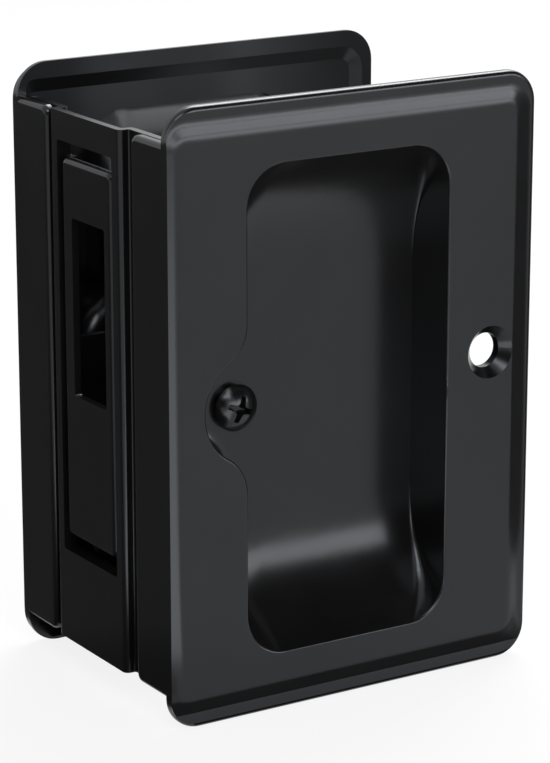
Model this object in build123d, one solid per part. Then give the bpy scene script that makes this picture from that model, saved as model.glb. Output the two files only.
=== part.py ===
from build123d import *
import os
from math import acos, atan, cos, radians, sin, sqrt, tan

# Receiver half of an adjustable pocket door lock: two stamped plates with
# finger cups grip the faces of the door, and their edge flanges slide over a
# folded edge plate that holds the strike for the opposite door's hook bolt.
# X runs across the plates from the door's edge, Y through the door from the
# front plate to the rear plate, Z up. The origin is under the middle.
# All sizes are in millimetres.

# Plates: outline, rim, raised field and edge flange
height = 82.55
width = 57.15
plate_sheet = 1.25
plate_corner = 4.5
rim_width = 2.1
far_rim_width = 1.4
bevel_width = 1.85
bevel_round = 3.0
field_rise = 0.6
field_corner = 1.6
field_margin = 1.2
rim_round = 0.7
flange_length = 9.7
flange_round = 0.7
flange_corner = 1.2

# Door thickness that the plates are set to, the least that they close to, and
# the front plate's share of the closing
door_setting = 38.1
door_least = 34.925
front_close = 2.5
slide_clear = 0.3

# Finger cup of each plate: how far its mouth lies from the plate's edges, then its form
cup_left = 11.55
cup_far_margin = 14.35
cup_end_margin = 8.25
cup_depth = 8.4
cup_scoop_radius = 20.25
cup_corner = 5.75
cup_foot_round = 2.6
cup_crease_round = 0.5
cup_lip_round = 0.35

# Screw bay that swells out of the cup on the edge side
bay_out = 6.35
bay_radius = 7.4
bay_blend = 6.0
bay_above_middle = 1.15

# Countersunk hole for a wood screw
hole_from_far_edge = 7.25
hole_above_middle = 3.3
hole_radius = 2.4
sink_radius = 3.65
sink_angle = 82.0
hole_land = 1.2

# Clamp screws, one from each side
screw_past_bay = 1.8
screw_below_bay = 2.05
shank_radius = 1.75
shank_tip_gap = 1.2
shank_chamfer = 0.5
shank_clear = 0.2
head_radius = 3.2
head_height = 2.1
head_side = 0.8
recess_length = 3.8
recess_width = 0.9
recess_depth = 1.4
recess_round = 0.45
recess_taper = 14.0
recess_angle = -20.0

# Tapped sleeve between the two screws
sleeve_gap = 0.55
sleeve_radius = 3.0
sleeve_chamfer = 0.4
barrel_radius = 4.0
thread_clear = 0.1
seat_clear = 0.05

# Folded edge plate and its window
edge_sheet = 1.05
edge_bend = 0.8
edge_inside_bend = 0.3
window_width = 14.6
window_top_margin = 3.875
window_foot_margin = 12.975
window_corner = 0.5

# Strike case: a web with a raised pad and a bolt slot, and two folded arms
case_sheet = 1.0
case_lap = 2.0
case_side_clear = 0.15
case_bend = 0.6
pad_side_gap = 0.75
pad_end_gap = 2.2
pad_sunk = 0.15
pad_corner = 1.0
pad_round = 0.75
slot_width = 8.7
slot_height = 24.3
slot_top_margin = 7.8
slot_to_front = 0.5
slot_corner = 0.4
arm_radius = 6.5

# Sizes and places that follow from those above
depth = door_setting + 2 * (field_rise + plate_sheet)
rear_close = door_setting - door_least - front_close
core_y = (front_close - rear_close) / 2
edge_x = -width / 2
front_y = -depth / 2
mid_z = height / 2
flange_height = height - 2 * plate_corner
flank_inset = plate_sheet * tan(atan(field_rise / bevel_width) / 2)
cup_right = width - cup_far_margin
cup_half = height / 2 - cup_end_margin
cup_mouth_turn = acos(1 - cup_depth / cup_scoop_radius)
cup_floor_half = cup_half - cup_scoop_radius * sin(cup_mouth_turn)
bay_x = cup_left - bay_out + bay_radius
bay_room = cup_floor_half - bay_above_middle - cup_foot_round
bay_fillet = min(bay_blend, (bay_room**2 / bay_out + bay_out) / 2 - bay_radius)
bay_reach = sqrt(bay_out * (2 * bay_radius + 2 * bay_fillet - bay_out)) + bay_above_middle
screw_x = bay_x + screw_past_bay
screw_z = bay_above_middle - screw_below_bay
hole_x = width - hole_from_far_edge
jog = plate_sheet + slide_clear
panel_half = depth / 2 - flange_length - front_close - slide_clear + core_y
edge_half = depth / 2 - plate_sheet - front_close - slide_clear + core_y
case_half = panel_half - edge_sheet - case_side_clear
arm_inside = case_half - case_sheet
window_height = flange_height - window_top_margin - window_foot_margin
window_above_middle = (window_foot_margin - window_top_margin) / 2
pad_width = window_width - 2 * pad_side_gap
pad_height = window_height - 2 * pad_end_gap
slot_above_middle = window_above_middle + (pad_height - slot_height) / 2 - slot_top_margin
sleeve_reach = depth / 2 - cup_depth - plate_sheet - front_close - sleeve_gap + core_y
shank_length = (depth - front_close - rear_close - 2 * cup_depth - shank_tip_gap) / 2

# How far a cutting form runs past the face that it cuts, and how near a corner lies to a line that it is on
past = 1.0
near = 1e-4

# Sections that the cup's form is drawn through, from its mouth to its floor
cup_steps = 4


def front_level(inward):
    """Plane across the front plate, a distance in from its field; local X starts at the door's edge."""
    return Plane(origin=(edge_x, front_y + inward, mid_z), x_dir=(1, 0, 0), z_dir=(0, -1, 0))


def edge_level(inward):
    """Plane along the door's edge, a distance in from its face; local X is Y, centred on the edge plate."""
    return Plane(origin=(edge_x + inward, core_y, mid_z), x_dir=(0, 1, 0), z_dir=(1, 0, 0))


def turning_plane(x, z, y):
    """Plane for the half section of a piece turned about an axis along Y; local Y runs into the door."""
    return Plane(origin=(edge_x + x, y, mid_z + z), x_dir=(1, 0, 0), z_dir=(0, 0, 1))


def turned(plane, outline):
    """Solid turned about the plane's local Y from a closed half outline."""
    return revolve(plane * make_face(outline), axis=Axis(plane.origin, plane.y_dir))


def rounded_panel(left, right, half_height, corner):
    """Rounded rectangle between two distances from the door's edge, centred on the plate's height."""
    return Pos((left + right) / 2, 0) * RectangleRounded(right - left, 2 * half_height, corner)


def field_form(inset, flat_level, foot_level):
    """Raised field of a plate: sloping flanks from a foot outline to a flat."""
    left = field_margin - bevel_width + inset
    right = width - far_rim_width - inset
    half = height / 2 - rim_width - inset
    foot = rounded_panel(left, right, half, field_corner + bevel_width)
    flat = rounded_panel(left + bevel_width, right - bevel_width, half - bevel_width, field_corner)
    foot = front_level(foot_level) * foot
    flat = front_level(flat_level) * flat
    return loft([foot.face(), flat.face()], ruled=True)


def field_die():
    """Slab with the field's hollow in it, rounded where the flanks end: it presses the rim back."""
    field = field_form(0, 0, field_rise)
    field = fillet(field.faces().sort_by(Axis.Y)[0].edges(), bevel_round)
    slab = Pos(width / 2, 0) * Rectangle(width + height, 2 * height)
    die = extrude(front_level(-past) * slab, -past - field_rise) - field
    hollow_edges = die.faces().sort_by(Axis.Y)[-1].inner_wires()[0].edges()
    return fillet(hollow_edges, bevel_round)


def cup_section(turn, grow):
    """Outline of the cup where its end scoops still have this angle to turn before they reach the floor.

    The back of the sheet is the same form with the sheet's thickness in grow. The corners on the
    edge side shrink where the screw bay leaves them less room, those on the far side to a crease.
    """
    radius = cup_scoop_radius + grow
    inward = cup_depth + grow - radius * (1 - cos(turn))
    half = cup_floor_half + radius * sin(turn)
    foot = cup_foot_round + grow
    into_foot = max(0, inward - cup_depth + cup_foot_round)
    left = cup_left - grow + foot - sqrt(foot**2 - into_foot**2)
    bay = bay_radius + cup_left - left
    corner = min(cup_corner + grow, half - bay_reach - near)
    far_corner = cup_crease_round + (cup_corner - cup_crease_round) * (turn / cup_mouth_turn) ** 3
    right = cup_right + grow
    outline = Pos((left + right) / 2, 0) * Rectangle(right - left, 2 * half)
    outline = fillet(outline.vertices().group_by(Axis.X)[0], corner)
    outline = fillet(outline.vertices().group_by(Axis.X)[-1], far_corner + grow)
    outline += Pos(bay_x, bay_above_middle) * Circle(bay)
    on_side = outline.vertices().filter_by_position(Axis.X, left - near, left + near)
    joins = on_side.filter_by_position(Axis.Y, bay_above_middle - bay, bay_above_middle + bay)
    return front_level(inward) * fillet(joins, bay_fillet + left - cup_left)


def cup_form(start, grow):
    """Finger cup from a start depth to its floor: upright sides, and scooped top and bottom ends."""
    mouth = acos(1 - (cup_depth + grow - start) / (cup_scoop_radius + grow))
    turns = [mouth * (1 - step / cup_steps) for step in range(cup_steps + 1)]
    return loft([cup_section(turn, grow).face() for turn in turns])


def flange_form():
    """Edge flange with rounded free corners and a rounded outer edge."""
    run = flange_length - field_rise
    start = Plane(origin=(edge_x, front_y + field_rise, mid_z), x_dir=(0, 1, 0), z_dir=(1, 0, 0))
    outline = Pos(run / 2, 0) * Rectangle(run, flange_height)
    outline = fillet(outline.vertices().group_by(Axis.X)[-1], flange_corner)
    flange = extrude(start * outline, plate_sheet)
    outer_edges = flange.faces().sort_by(Axis.X)[0].edges()
    return fillet(outer_edges.sort_by(Axis.Y)[1:], flange_round)


def dimple_forms():
    """Pressed boss round the screw hole, and the countersunk hole that goes through it."""
    plane = turning_plane(hole_x, hole_above_middle, front_y)
    half_angle = radians(sink_angle / 2)
    slope = tan(half_angle)
    sink = (sink_radius - hole_radius) / slope
    back = sink + hole_land
    outside = sink_radius + plate_sheet / cos(half_angle)
    start = plate_sheet / 2
    boss = Polyline(
        (0, start),
        (outside - start * slope, start),
        (outside - back * slope, back),
        (0, back),
        close=True,
    )
    hole = Polyline(
        (0, -past),
        (sink_radius + past * slope, -past),
        (hole_radius, sink),
        (hole_radius, back + past),
        (0, back + past),
        close=True,
    )
    return turned(plane, boss), turned(plane, hole)


def front_plate():
    """Front plate: rim, raised field, edge flange, finger cup and dimpled screw hole in one drawn sheet."""
    outline = rounded_panel(0, width, height / 2, plate_corner)
    rim = extrude(front_level(field_rise) * outline, -plate_sheet)
    rim = fillet(rim.faces().sort_by(Axis.Y)[0].edges(), rim_round)
    blank = rounded_panel(0, width - rim_round, height / 2 - rim_round, plate_corner - rim_round)
    field = extrude(front_level(0) * blank, -field_rise - plate_sheet / 2) - field_die()
    hollow = field_form(flank_inset, plate_sheet, field_rise + plate_sheet)
    inside = rounded_panel(plate_sheet, width, height / 2, plate_corner)
    hollow &= extrude(front_level(0) * inside, -field_rise - plate_sheet - past)
    boss, hole = dimple_forms()
    plate = rim + field - hollow + flange_form() + cup_form(plate_sheet / 2, plate_sheet) + boss
    plate -= cup_form(0, 0)
    lip = plate.edges().filter_by_position(Axis.Y, front_y - near, front_y + near)
    lip = lip.filter_by_position(Axis.X, edge_x + cup_left - bay_out - near, edge_x + cup_right + near)
    lip = lip.filter_by_position(Axis.Z, mid_z - cup_half - near, mid_z + cup_half + near)
    plate = fillet(lip, cup_lip_round)
    plate -= hole
    shank_hole = Pos(screw_x, screw_z) * Circle(shank_radius + shank_clear)
    plate -= extrude(front_level(cup_depth - past) * shank_hole, -plate_sheet - 2 * past)
    return plate


def front_screw():
    """Pan-head clamp screw with a cross recess, seated on the cup's floor."""
    plane = turning_plane(screw_x, screw_z, front_y + cup_depth)
    outline = TangentArc((0, -head_height), (head_radius, -head_side), tangent=(1, 0)) + Polyline(
        (head_radius, -head_side),
        (head_radius, 0),
        (shank_radius, 0),
        (shank_radius, shank_length - shank_chamfer),
        (shank_radius - shank_chamfer, shank_length),
        (0, shank_length),
        (0, -head_height),
    )
    screw = turned(plane, outline)
    turn = radians(recess_angle)
    crown = Plane(
        origin=plane.origin - Vector(0, head_height, 0),
        x_dir=(cos(turn), 0, sin(turn)),
        z_dir=(0, 1, 0),
    )
    cross = Rectangle(recess_length, recess_width) + Rectangle(recess_width, recess_length)
    cross = fillet(cross.vertices().sort_by_distance((0, 0, 0))[:4], recess_round)
    return screw - extrude(crown * cross, recess_depth, taper=recess_taper)


def edge_plate():
    """Folded sheet: a flush middle panel with a window, and two strips set in behind the flanges."""
    inner = panel_half - edge_sheet
    outline = Polyline(
        (jog, -edge_half),
        (jog, -panel_half),
        (0, -panel_half),
        (0, panel_half),
        (jog, panel_half),
        (jog, edge_half),
        (jog + edge_sheet, edge_half),
        (jog + edge_sheet, inner),
        (edge_sheet, inner),
        (edge_sheet, -inner),
        (jog + edge_sheet, -inner),
        (jog + edge_sheet, -edge_half),
        close=True,
    )
    section = make_face(outline)
    bends = section.vertices().filter_by_position(Axis.Y, -panel_half - near, panel_half + near)
    section = fillet(bends.group_by(Axis.X)[0] + bends.group_by(Axis.X)[-1], edge_bend)
    bends = section.vertices().filter_by_position(Axis.Y, -panel_half - near, panel_half + near)
    feet = bends.filter_by_position(Axis.X, jog - near, jog + near)
    feet += bends.filter_by_position(Axis.X, edge_sheet - near, edge_sheet + near)
    section = fillet(feet, edge_inside_bend)
    base = Plane(origin=(edge_x, core_y, mid_z - flange_height / 2))
    plate = extrude(base * section, flange_height)
    window = Pos(0, window_above_middle) * RectangleRounded(window_width, window_height, window_corner)
    return plate - extrude(edge_level(-past) * window, edge_sheet + 2 * past)


def strike_case():
    """Strike case: a web behind the window, lanced round its raised pad, and two arms for the sleeve."""
    middle = Pos(0, window_above_middle)
    opening = Rectangle(pad_width - 2 * case_sheet, window_height)
    for end in (-1, 1):
        opening += Pos(0, end * (window_height - pad_end_gap) / 2) * Rectangle(window_width, pad_end_gap)
    web_outline = Rectangle(2 * case_half, window_height + 2 * case_lap) - opening
    web = extrude(edge_level(edge_sheet) * middle * web_outline, case_sheet)
    pad_outline = RectangleRounded(pad_width, pad_height, pad_corner)
    pad = extrude(edge_level(pad_sunk) * middle * pad_outline, edge_sheet + case_sheet - pad_sunk)
    pad = fillet(pad.faces().sort_by(Axis.X)[0].edges(), pad_round)
    pad -= extrude(edge_level(pad_sunk + case_sheet) * middle * opening, edge_sheet + past)
    slot = Pos(-slot_to_front, slot_above_middle) * RectangleRounded(slot_width, slot_height, slot_corner)
    case = web + pad - extrude(edge_level(-past) * slot, edge_sheet + case_sheet + 2 * past)
    side = Plane(origin=(edge_x, core_y, mid_z + screw_z), x_dir=(1, 0, 0), z_dir=(0, -1, 0))
    reach = screw_x - edge_sheet
    arm = Pos(edge_sheet + reach / 2, 0) * Rectangle(reach, 2 * arm_radius)
    arm += Pos(screw_x, 0) * Circle(arm_radius)
    arm -= Pos(screw_x, 0) * Circle(sleeve_radius + seat_clear)
    for outside in (-case_half, arm_inside):
        case += extrude(side.offset(outside) * arm, case_sheet)
    fold_x = edge_x + edge_sheet
    folds = case.edges().filter_by(Axis.Z).filter_by_position(Axis.X, fold_x - near, fold_x + near)
    outer_folds = folds.group_by(Axis.Y)[0] + folds.group_by(Axis.Y)[-1]
    return fillet(outer_folds, case_bend)


def clamp_sleeve():
    """Sleeve tapped right through: its barrel stands between the arms and its ends pass through them."""
    plane = turning_plane(screw_x, screw_z, core_y)
    bore = shank_radius + thread_clear
    outline = Polyline(
        (bore, -sleeve_reach),
        (sleeve_radius - sleeve_chamfer, -sleeve_reach),
        (sleeve_radius, sleeve_chamfer - sleeve_reach),
        (sleeve_radius, -arm_inside),
        (barrel_radius, -arm_inside),
        (barrel_radius, arm_inside),
        (sleeve_radius, arm_inside),
        (sleeve_radius, sleeve_reach - sleeve_chamfer),
        (sleeve_radius - sleeve_chamfer, sleeve_reach),
        (bore, sleeve_reach),
        close=True,
    )
    return turned(plane, outline)


def main():
    plate = front_plate()
    screw = front_screw()
    nodes = {
        "front_plate": plate,
        "front_screw": screw,
        "rear_plate": mirror(plate, about=Plane.XZ),
        "rear_screw": mirror(screw, about=Plane.XZ),
        "edge_plate": edge_plate(),
        "strike_case": strike_case(),
        "clamp_sleeve": clamp_sleeve(),
    }
    os.makedirs("parts", exist_ok=True)
    for name, piece in nodes.items():
        export_step(piece, f"parts/{name}.step")


main()
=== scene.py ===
import math

import bpy
from mathutils import Matrix, Vector


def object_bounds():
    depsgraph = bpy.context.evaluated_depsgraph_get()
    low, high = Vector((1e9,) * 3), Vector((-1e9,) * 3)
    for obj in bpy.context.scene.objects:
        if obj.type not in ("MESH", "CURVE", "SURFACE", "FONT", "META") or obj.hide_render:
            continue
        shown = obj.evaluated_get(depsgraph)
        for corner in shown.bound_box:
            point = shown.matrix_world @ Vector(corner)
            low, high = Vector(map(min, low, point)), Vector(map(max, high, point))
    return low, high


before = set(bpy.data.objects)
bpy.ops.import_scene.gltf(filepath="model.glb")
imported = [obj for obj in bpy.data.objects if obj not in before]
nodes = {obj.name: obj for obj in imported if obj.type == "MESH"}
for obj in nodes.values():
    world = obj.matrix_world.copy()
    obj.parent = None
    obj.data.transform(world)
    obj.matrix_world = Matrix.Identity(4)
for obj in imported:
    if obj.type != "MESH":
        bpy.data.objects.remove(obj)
cad_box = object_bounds()
scene = bpy.context.scene
mm = 0.001
middle = (cad_box[0] + cad_box[1]) / 2

UP = (0, 0, 1)
DOWN = (0, 0, -1)
FORWARD = (0, -1, 0)
LEFT = (-1, 0, 0)

# Camera, from a fit of the plates' outlines to the photograph
IMAGE_HEIGHT = 763
FOCAL_PIXELS = 3073.0
SENSOR = 36.0
HEADING = math.radians(32.24)
PITCH = math.radians(15.68)
CAMERA_PLACE = Vector((-216.5, -343.6, 152.7)) * mm

# Black coat: base tone with a trace of blue, bluish gloss, clouds per metre and a fine grain
COAT_TONE = 0.004
COAT_BLUE = 1.04
COAT_SPECULAR = 0.38
COAT_TINT = (0.9, 0.935, 1.0, 1.0)
CLOUDS = 90.0
CLOUD_SHARES = (0.85, 1.15)
CLOUD_STOPS = (0.3, 0.7)
GLOSS_SPREAD = 0.03
GRAIN_DEPTH = 0.002 * mm

# Sleeve: black oxide with turning marks round its axis, which lies along Y
SLEEVE_DARK = (0.003, 0.003, 0.003, 1.0)
SLEEVE_LIGHT = (0.006, 0.006, 0.006, 1.0)
SLEEVE_SPECULAR = 0.1
SLEEVE_ROUGHNESS = (0.4, 0.55)
TURNING_MARKS = (60.0, 4000.0, 60.0)

# Stage: a floor and a world that are near white to the camera and in mirrors, and give little light
WHITE = (1.0, 1.0, 1.0, 1.0)
PAPER = (0.8, 0.8, 0.8, 1.0)
FLOOR_SIZE = 12.0
FLOOR_WHITE_SHARE = 0.85
WORLD_FILL = 0.3
WORLD_SEEN = 1.0
BLACK_CLOTH = 0.004
ABOVE_FLOOR = 0.0004


def add_camera():
    """Camera at the photograph's angle, without lens shift."""
    data = bpy.data.cameras.new("camera")
    data.sensor_width = SENSOR
    data.lens = FOCAL_PIXELS / IMAGE_HEIGHT * SENSOR
    data.clip_start = 10 * mm
    camera = bpy.data.objects.new("camera", data)
    forward = Vector(
        (math.sin(HEADING) * math.cos(PITCH), math.cos(HEADING) * math.cos(PITCH), -math.sin(PITCH))
    )
    camera.matrix_world = Matrix.LocRotScale(CAMERA_PLACE, forward.to_track_quat("-Z", "Y"), None)
    scene.collection.objects.link(camera)
    scene.camera = camera


class Tree:
    """A material's or world's nodes, added and joined in few words."""

    def __init__(self, owner):
        owner.use_nodes = True
        self.tree = owner.node_tree
        self.tree.nodes.clear()

    def add(self, kind, inputs=None, **settings):
        node = self.tree.nodes.new(kind)
        for name, value in settings.items():
            setattr(node, name, value)
        for name, value in (inputs or {}).items():
            if isinstance(value, bpy.types.NodeSocket):
                self.tree.links.new(value, node.inputs[name])
            else:
                node.inputs[name].default_value = value
        return node

    def seen_directly_or_mirrored(self):
        """1 for camera, glossy and transmission rays."""
        path = self.add("ShaderNodeLightPath")
        either = self.add(
            "ShaderNodeMath",
            {0: path.outputs["Is Camera Ray"], 1: path.outputs["Is Glossy Ray"]},
            operation="MAXIMUM",
        )
        return self.add(
            "ShaderNodeMath",
            {0: either.outputs[0], 1: path.outputs["Is Transmission Ray"]},
            operation="MAXIMUM",
        ).outputs[0]


def black_coat(name, roughness, grain_mm):
    """Baked black coat: slight cloudiness in colour and gloss, and a fine grain."""
    material = bpy.data.materials.new(name)
    tree = Tree(material)
    place = tree.add("ShaderNodeTexCoord").outputs["Object"]
    cloud = tree.add(
        "ShaderNodeTexNoise",
        {"Vector": place, "Scale": CLOUDS, "Detail": 4.0, "Roughness": 0.6},
    )
    grain = tree.add("ShaderNodeTexNoise", {"Vector": place, "Scale": 1.0 / (grain_mm * mm), "Detail": 2.0})
    shade = tree.add("ShaderNodeValToRGB", {"Fac": cloud.outputs["Fac"]})
    for stop, share, position in zip(shade.color_ramp.elements, CLOUD_SHARES, CLOUD_STOPS):
        tone = COAT_TONE * share
        stop.color = (tone, tone, tone * COAT_BLUE, 1.0)
        stop.position = position
    gloss = tree.add(
        "ShaderNodeMapRange",
        {
            "Value": cloud.outputs["Fac"],
            "To Min": roughness - GLOSS_SPREAD,
            "To Max": roughness + GLOSS_SPREAD,
        },
    )
    bump = tree.add(
        "ShaderNodeBump",
        {"Height": grain.outputs["Fac"], "Strength": 1.0, "Distance": GRAIN_DEPTH},
    )
    shader = tree.add(
        "ShaderNodeBsdfPrincipled",
        {
            "Base Color": shade.outputs["Color"],
            "Roughness": gloss.outputs["Result"],
            "Normal": bump.outputs["Normal"],
            "Specular IOR Level": COAT_SPECULAR,
            "Specular Tint": COAT_TINT,
        },
    )
    tree.add("ShaderNodeOutputMaterial", {"Surface": shader.outputs["BSDF"]})
    return material


def oxide_steel(name):
    """Blackened steel with turning marks round the sleeve's axis."""
    material = bpy.data.materials.new(name)
    tree = Tree(material)
    place = tree.add("ShaderNodeTexCoord").outputs["Object"]
    stretched = tree.add("ShaderNodeMapping", {"Vector": place, "Scale": TURNING_MARKS})
    lines = tree.add(
        "ShaderNodeTexNoise",
        {"Vector": stretched.outputs["Vector"], "Scale": 1.0, "Detail": 3.0},
    )
    shade = tree.add("ShaderNodeValToRGB", {"Fac": lines.outputs["Fac"]})
    shade.color_ramp.elements[0].color = SLEEVE_DARK
    shade.color_ramp.elements[1].color = SLEEVE_LIGHT
    gloss = tree.add(
        "ShaderNodeMapRange",
        {"Value": lines.outputs["Fac"], "To Min": SLEEVE_ROUGHNESS[0], "To Max": SLEEVE_ROUGHNESS[1]},
    )
    shader = tree.add(
        "ShaderNodeBsdfPrincipled",
        {
            "Base Color": shade.outputs["Color"],
            "Roughness": gloss.outputs["Result"],
            "Specular IOR Level": SLEEVE_SPECULAR,
        },
    )
    tree.add("ShaderNodeOutputMaterial", {"Surface": shader.outputs["BSDF"]})
    return material


def dress(names, material):
    """Give CAD nodes a material in place of their own."""
    for name in names:
        mesh = nodes[name].data
        mesh.materials.clear()
        mesh.materials.append(material)


def bearing(azimuth, elevation):
    """Direction from the object, in degrees to the right of its front and up from the floor."""
    turn = math.radians(azimuth)
    lift = math.radians(elevation)
    return Vector((math.sin(turn) * math.cos(lift), -math.cos(turn) * math.cos(lift), math.sin(lift)))


def add_card(name, centre, facing, width, height, material):
    """Rectangular card on the stage, facing a direction."""
    half_width = width / 2
    half_height = height / 2
    mesh = bpy.data.meshes.new(name)
    corners = [
        (-half_width, -half_height, 0),
        (half_width, -half_height, 0),
        (half_width, half_height, 0),
        (-half_width, half_height, 0),
    ]
    mesh.from_pydata(corners, [], [(0, 1, 2, 3)])
    mesh.materials.append(material)
    card = bpy.data.objects.new(name, mesh)
    card.matrix_world = Matrix.LocRotScale(Vector(centre), Vector(facing).to_track_quat("Z", "Y"), None)
    scene.collection.objects.link(card)
    return card


def add_floor():
    """Pale floor that keeps the object's shadow."""
    material = bpy.data.materials.new("floor")
    material.cycles.emission_sampling = "NONE"
    tree = Tree(material)
    seen = tree.seen_directly_or_mirrored()
    part = tree.add("ShaderNodeMath", {0: seen, 1: FLOOR_WHITE_SHARE}, operation="MULTIPLY")
    paper = tree.add("ShaderNodeBsdfDiffuse", {"Color": PAPER})
    white = tree.add("ShaderNodeEmission", {"Color": WHITE, "Strength": 1.0})
    mix = tree.add(
        "ShaderNodeMixShader",
        {"Fac": part.outputs[0], 1: paper.outputs["BSDF"], 2: white.outputs["Emission"]},
    )
    tree.add("ShaderNodeOutputMaterial", {"Surface": mix.outputs["Shader"]})
    add_card("floor", (0, 0, 0), UP, FLOOR_SIZE, FLOOR_SIZE, material)


def add_world():
    """White surroundings that light the object only a little."""
    world = bpy.data.worlds.new("studio")
    tree = Tree(world)
    seen = tree.seen_directly_or_mirrored()
    level = tree.add("ShaderNodeMapRange", {"Value": seen, "To Min": WORLD_FILL, "To Max": WORLD_SEEN})
    sky = tree.add("ShaderNodeBackground", {"Color": WHITE, "Strength": level.outputs["Result"]})
    tree.add("ShaderNodeOutputWorld", {"Surface": sky.outputs["Background"]})
    scene.world = world


def add_lamp(name, centre, back, width, height, radiance):
    """Rectangular area light; back is the direction from what it lights to the lamp."""
    data = bpy.data.lights.new(name, "AREA")
    data.shape = "RECTANGLE"
    data.size = width
    data.size_y = height
    data.energy = radiance * math.pi * width * height
    lamp = bpy.data.objects.new(name, data)
    lamp.matrix_world = Matrix.LocRotScale(Vector(centre), Vector(back).to_track_quat("Z", "Y"), None)
    lamp.visible_camera = False
    scene.collection.objects.link(lamp)


def add_softbox(name, way, distance, width, height, radiance):
    """Area light that faces the object's middle."""
    add_lamp(name, middle + way * distance, way, width, height, radiance)


def add_flag(name, centre, facing, width, height, tone=BLACK_CLOTH):
    """Dark studio card that only the object's reflections see."""
    material = bpy.data.materials.new(name)
    tree = Tree(material)
    cloth = tree.add("ShaderNodeBsdfDiffuse", {"Color": (tone, tone, tone, 1.0)})
    tree.add("ShaderNodeOutputMaterial", {"Surface": cloth.outputs["BSDF"]})
    flag = add_card(name, centre, facing, width, height, material)
    flag.visible_camera = False
    flag.visible_diffuse = False
    flag.visible_shadow = False
    flag.visible_transmission = False


add_camera()
add_floor()
add_world()

# Softboxes: streak on the cup's lower scoop, tone of the left faces, glints on screw and countersink
add_softbox("front_strip", bearing(22, 8.5), distance=2.4, width=3.4, height=0.5, radiance=4.3)
add_softbox("overhead", bearing(130, 50), distance=0.7, width=0.45, height=0.45, radiance=8.5)
add_softbox("screw_light", bearing(-24, 42), distance=0.8, width=0.45, height=0.4, radiance=5.0)

# Lamps near the object: left flank of the field, its top flank, and the rear plate's inside twice.
# The one for the top flank is tilted up, so that the cup's lower scoop doesn't mirror it.
top_back = (0, -0.82, -0.57)
add_lamp("floor_strip", (-0.045, -0.19, 0.003), DOWN, width=0.05, height=0.3, radiance=2.4)
add_lamp("top_strip", (0.0185, -0.051, 0.0934), top_back, width=0.09, height=0.01, radiance=7.0)
add_lamp("inner_fill", (0.013, -0.0115, 0.0715), FORWARD, width=0.03, height=0.017, radiance=0.7)
add_lamp("inner_top", (0.03, 0.006, 0.13), UP, width=0.08, height=0.03, radiance=2.6)

# Flags: scoop below its streak, left faces, right flank, countersink, bottom edge, lower flank
ceiling_way = bearing(52, 43)
ceiling_place = middle + ceiling_way * 1.6 + Vector((0, 0, 0.08))
hole_way = bearing(-42, 13)
add_flag("flag_ceiling", ceiling_place, -ceiling_way, width=3.0, height=1.76)
add_flag("flag_left", (-0.28, 0.27, ABOVE_FLOOR), UP, width=0.5, height=0.62, tone=0.075)
add_flag("flag_right", (0.065, -0.035, 0.045), LEFT, width=0.05, height=0.089, tone=0.15)
add_flag("flag_hole", middle + hole_way, -hole_way, width=0.75, height=0.77)
add_flag("flag_low", (0.035, 0.0149, ABOVE_FLOOR), UP, width=0.12, height=0.0712)
add_flag("flag_edge", (0.004, -0.0219, 0.0022), UP, width=0.07, height=0.0031, tone=0.25)

coat = black_coat("coat", roughness=0.22, grain_mm=0.35)
dress(("front_plate", "rear_plate", "edge_plate", "strike_case"), coat)
dress(("front_screw", "rear_screw"), black_coat("screw_coat", roughness=0.2, grain_mm=0.2))
dress(("clamp_sleeve",), oxide_steel("sleeve_oxide"))

scene.view_settings.view_transform = "Standard"
